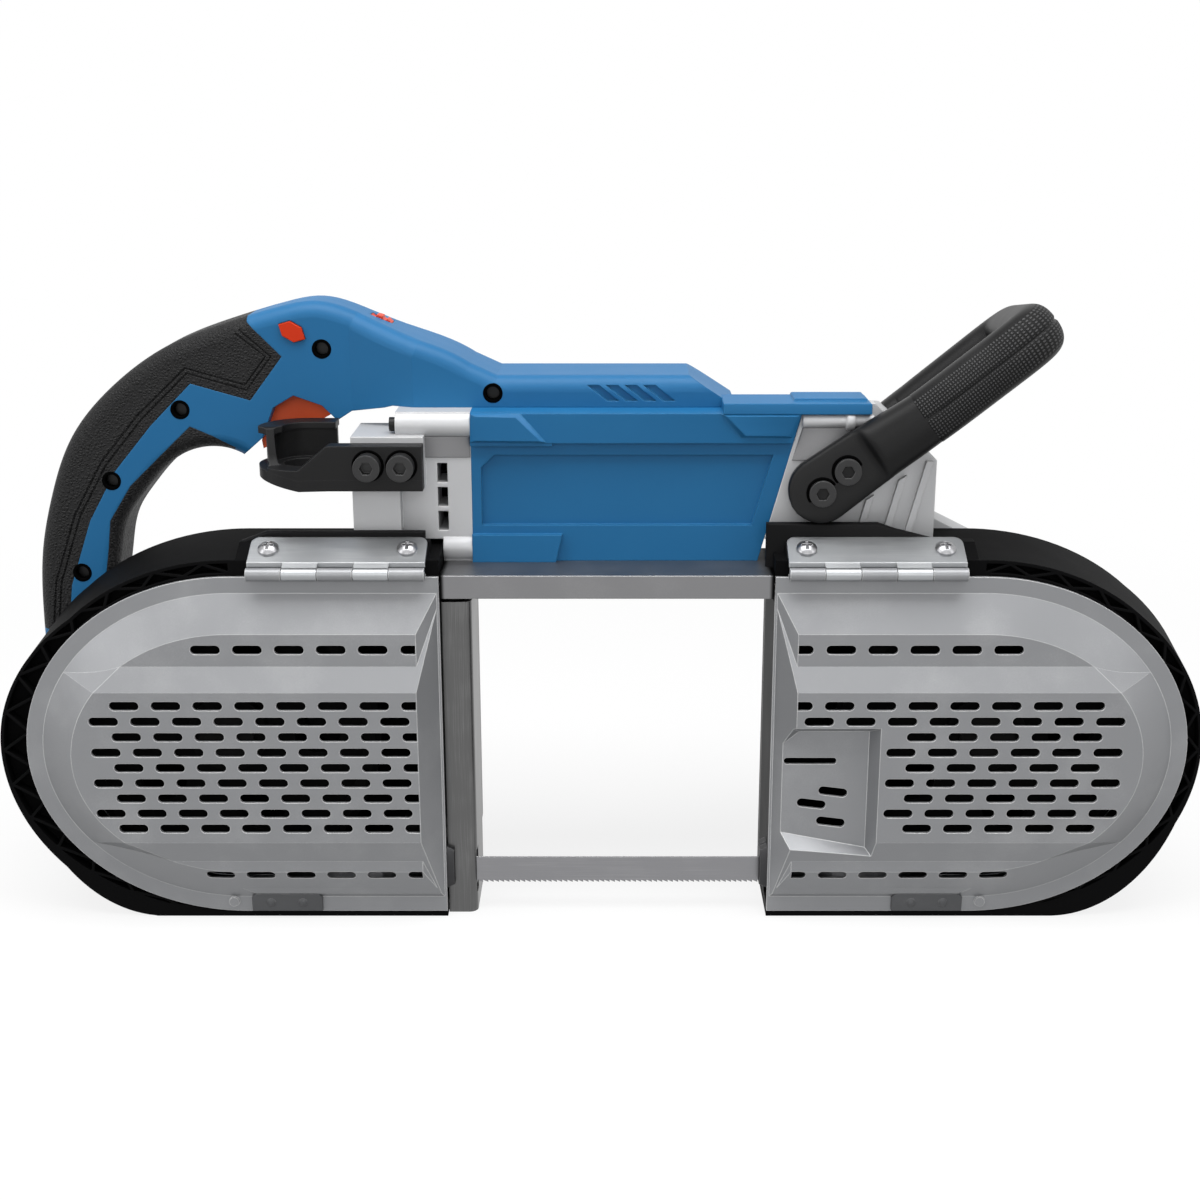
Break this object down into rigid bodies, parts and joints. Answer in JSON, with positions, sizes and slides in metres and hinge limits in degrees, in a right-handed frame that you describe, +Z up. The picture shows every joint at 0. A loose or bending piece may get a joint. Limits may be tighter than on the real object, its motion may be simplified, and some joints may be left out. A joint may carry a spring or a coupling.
{
  "type": "portable band saw",
  "caption": "Cordless deep-cut band saw with slotted hinged wheel covers, gear-driven band, rear trigger handle, front loop handle, rafter hook and battery dock.",
  "frame": {"origin": "on the ground plane below the middle of the saw's bounding box", "axes": "+X towards the front loop handle, +Y from the wheel covers to the back, +Z up"},
  "size_m": [0.5618, 0.1452, 0.2837],
  "materials": {
    "black_plastic": "satin moulded black",
    "black_rubber": "dull moulded rubber",
    "cover_steel": "satin grey pressed sheet",
    "hinge_zinc": "bright zinc",
    "bright_screws": "bright plated",
    "cast_frame": "blasted casting",
    "cast_aluminium": "blasted casting",
    "wheel_tyre": "smooth tyre rubber",
    "turned_steel": "turned steel",
    "guide_block": "dark steel",
    "band_steel": "rolled steel band",
    "shoe_steel": "brushed stainless",
    "gear_steel": "cut gear steel",
    "stator_pack": "laminated pack",
    "blue_plastic": "textured blue moulding",
    "grip_rubber": "fine grained soft rubber",
    "loop_rubber": "dotted soft rubber",
    "black_moulding": "dull black moulding",
    "accent_plastic": "orange-red moulding",
    "lock_plastic": "orange-red moulding",
    "board_green": "coated board",
    "hook_metal": "black coat",
    "loop_metal": "dull black coat",
    "black_screws": "black oxide"
  },
  "bodies": {
    "saw_frame": {"band": "band_steel", "battery_dock": "black_moulding", "case_screws": "black_screws", "control_board": "board_green", "far_handle_shell": "blue_plastic", "front_bumper": "black_rubber", "front_casting": "cast_aluminium", "front_deck": "black_plastic", "front_guide_bracket": "guide_block", "front_handle": "loop_metal", "front_handle_grip": "loop_rubber", "gear_case": "cast_aluminium", "gear_case_cover": "cast_aluminium", "hinge_leaves": "hinge_zinc", "hinge_pins": "hinge_zinc", "hinge_screws": "bright_screws", "inner_grip": "grip_rubber", "main_frame": "cast_frame", "motor_housing": "blue_plastic", "motor_stator": "stator_pack", "near_handle_shell": "blue_plastic", "rafter_hook": "hook_metal", "rear_bumper": "black_rubber", "rear_casting": "cast_aluminium", "rear_deck": "black_plastic", "rear_grip": "grip_rubber", "rear_guide_bracket": "guide_block", "shaft_bearings": "turned_steel", "shoe": "shoe_steel", "shoe_screws": "bright_screws", "socket_bolts": "black_screws", "trigger_switch": "black_moulding"},
    "rear_cover_body": {"rear_cover": "cover_steel"},
    "front_cover_body": {"front_cover": "cover_steel"},
    "drive_wheel_body": {"drive_wheel": "cast_aluminium", "drive_tyre": "wheel_tyre", "drive_shaft": "turned_steel", "final_gear": "gear_steel"},
    "intermediate_body": {"intermediate_gear": "gear_steel"},
    "cross_shaft_body": {"cross_shaft": "gear_steel", "bevel_gear": "gear_steel"},
    "rotor_body": {"motor_rotor": "gear_steel", "cooling_fan": "black_moulding"},
    "tension_lever_body": {"tension_lever": "black_moulding"},
    "tension_slide_body": {"tension_slide": "turned_steel", "idler_axle": "turned_steel"},
    "idler_wheel_body": {"idler_wheel": "cast_aluminium", "idler_tyre": "wheel_tyre", "idler_bearings": "turned_steel"},
    "trigger_body": {"trigger": "accent_plastic"},
    "lock_button_body": {"lock_button": "lock_plastic"},
    "speed_dial_body": {"speed_dial": "accent_plastic"},
    "rear_near_roller_body": {"rear_near_roller": "turned_steel"},
    "rear_far_roller_body": {"rear_far_roller": "turned_steel"},
    "rear_thrust_roller_body": {"rear_thrust_roller": "turned_steel"},
    "front_near_roller_body": {"front_near_roller": "turned_steel"},
    "front_far_roller_body": {"front_far_roller": "turned_steel"},
    "front_thrust_roller_body": {"front_thrust_roller": "turned_steel"}
  },
  "joints": [
    {"name": "rear_cover_hinge", "type": "hinge", "parent": "saw_frame", "child": "rear_cover_body", "pos_m": [-0.12, -0.0646, 0.169], "axis": [-1, 0, 0], "range_deg": [0, 100]},
    {"name": "front_cover_hinge", "type": "hinge", "parent": "saw_frame", "child": "front_cover_body", "pos_m": [0.12, -0.0646, 0.169], "axis": [-1, 0, 0], "range_deg": [0, 100]},
    {"name": "drive_wheel_spin", "type": "hinge", "parent": "saw_frame", "child": "drive_wheel_body", "pos_m": [0.17363, -0.0506, 0.0916], "axis": [0, 1, 0], "continuous": true},
    {"name": "intermediate_spin", "type": "hinge", "parent": "saw_frame", "child": "intermediate_body", "pos_m": [0.12256, -0.0006, 0.15318], "axis": [0, 1, 0], "continuous": true},
    {"name": "cross_shaft_spin", "type": "hinge", "parent": "saw_frame", "child": "cross_shaft_body", "pos_m": [0.112, 0.0094, 0.2], "axis": [0, 1, 0], "continuous": true},
    {"name": "rotor_spin", "type": "hinge", "parent": "saw_frame", "child": "rotor_body", "pos_m": [0, 0.0094, 0.2], "axis": [1, 0, 0], "continuous": true},
    {"name": "tension_lever_turn", "type": "hinge", "parent": "saw_frame", "child": "tension_lever_body", "pos_m": [-0.12363, -0.0026, 0.0916], "axis": [0, 1, 0], "range_deg": [0, 150]},
    {"name": "tension_slide_move", "type": "slide", "parent": "saw_frame", "child": "tension_slide_body", "axis": [1, 0, 0], "range_m": [0, 0.006]},
    {"name": "idler_wheel_spin", "type": "hinge", "parent": "tension_slide_body", "child": "idler_wheel_body", "pos_m": [-0.17363, -0.0506, 0.0916], "axis": [0, 1, 0], "continuous": true},
    {"name": "rear_near_roller_spin", "type": "hinge", "parent": "saw_frame", "child": "rear_near_roller_body", "pos_m": [-0.082, -0.0546, 0.0207], "axis": [0, 0, 1], "continuous": true},
    {"name": "rear_far_roller_spin", "type": "hinge", "parent": "saw_frame", "child": "rear_far_roller_body", "pos_m": [-0.082, -0.0466, 0.0207], "axis": [0, 0, 1], "continuous": true},
    {"name": "rear_thrust_roller_spin", "type": "hinge", "parent": "saw_frame", "child": "rear_thrust_roller_body", "pos_m": [-0.0895, -0.0506, 0.0309], "axis": [0, 1, 0], "continuous": true},
    {"name": "front_near_roller_spin", "type": "hinge", "parent": "saw_frame", "child": "front_near_roller_body", "pos_m": [0.082, -0.0546, 0.0207], "axis": [0, 0, 1], "continuous": true},
    {"name": "front_far_roller_spin", "type": "hinge", "parent": "saw_frame", "child": "front_far_roller_body", "pos_m": [0.082, -0.0466, 0.0207], "axis": [0, 0, 1], "continuous": true},
    {"name": "front_thrust_roller_spin", "type": "hinge", "parent": "saw_frame", "child": "front_thrust_roller_body", "pos_m": [0.0895, -0.0506, 0.0309], "axis": [0, 1, 0], "continuous": true},
    {"name": "trigger_pull", "type": "hinge", "parent": "saw_frame", "child": "trigger_body", "pos_m": [-0.13445, 0.0094, 0.23572], "axis": [0, 1, 0], "range_deg": [0, 9], "stiffness_Nm_per_rad": 0.5},
    {"name": "lock_button_press", "type": "slide", "parent": "saw_frame", "child": "lock_button_body", "axis": [0, 1, 0], "range_m": [0, 0.0025], "stiffness_N_per_m": 200},
    {"name": "speed_dial_turn", "type": "hinge", "parent": "saw_frame", "child": "speed_dial_body", "pos_m": [-0.1078, 0.0094, 0.2647], "axis": [0, 1, 0], "range_deg": [0, 270]}
  ],
  "couplings": [
    {"joint": "intermediate_spin", "follows": "drive_wheel_spin", "ratio": -4},
    {"joint": "cross_shaft_spin", "follows": "drive_wheel_spin", "ratio": 8},
    {"joint": "rotor_spin", "follows": "drive_wheel_spin", "ratio": 24},
    {"joint": "idler_wheel_spin", "follows": "drive_wheel_spin", "ratio": 1},
    {"joint": "tension_lever_turn", "follows": "tension_slide_move", "rad_per_m": 436.33},
    {"joint": "rear_near_roller_spin", "follows": "drive_wheel_spin", "ratio": 20.853},
    {"joint": "rear_far_roller_spin", "follows": "drive_wheel_spin", "ratio": -20.853},
    {"joint": "rear_thrust_roller_spin", "follows": "drive_wheel_spin", "ratio": 20.853},
    {"joint": "front_near_roller_spin", "follows": "drive_wheel_spin", "ratio": 20.853},
    {"joint": "front_far_roller_spin", "follows": "drive_wheel_spin", "ratio": -20.853},
    {"joint": "front_thrust_roller_spin", "follows": "drive_wheel_spin", "ratio": 20.853}
  ]
}
